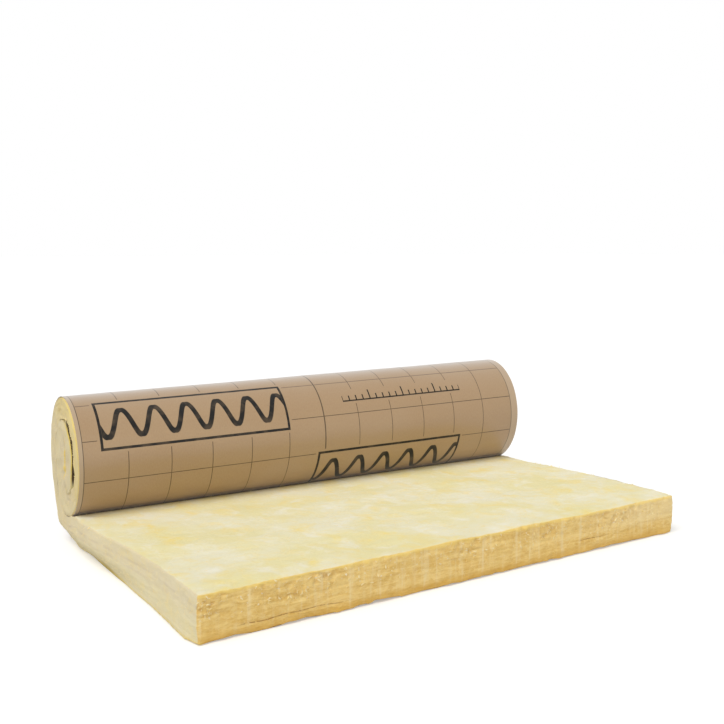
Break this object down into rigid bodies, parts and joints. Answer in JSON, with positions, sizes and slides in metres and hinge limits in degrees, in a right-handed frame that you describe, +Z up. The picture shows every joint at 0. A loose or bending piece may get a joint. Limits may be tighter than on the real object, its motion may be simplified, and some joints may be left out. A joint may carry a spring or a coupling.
{
  "type": "insulation roll",
  "caption": "Partly unrolled roll of glass wool insulation mat with a kraft paper facing, lying on the floor with its wool side up.",
  "frame": {"origin": "centre of the bounding box at floor level, under the mat", "axes": "+X along the roll, across the mat's width; +Y from the cut front edge to the back of the roll; +Z up from the floor"},
  "size_m": [1.2346, 0.7748, 0.3514],
  "materials": {
    "glass_wool": "matte fibrous",
    "kraft_paper": "satin"
  },
  "bodies": {
    "root": {"wool_mat": "glass_wool", "kraft_facing": "kraft_paper"}
  },
  "joints": []
}
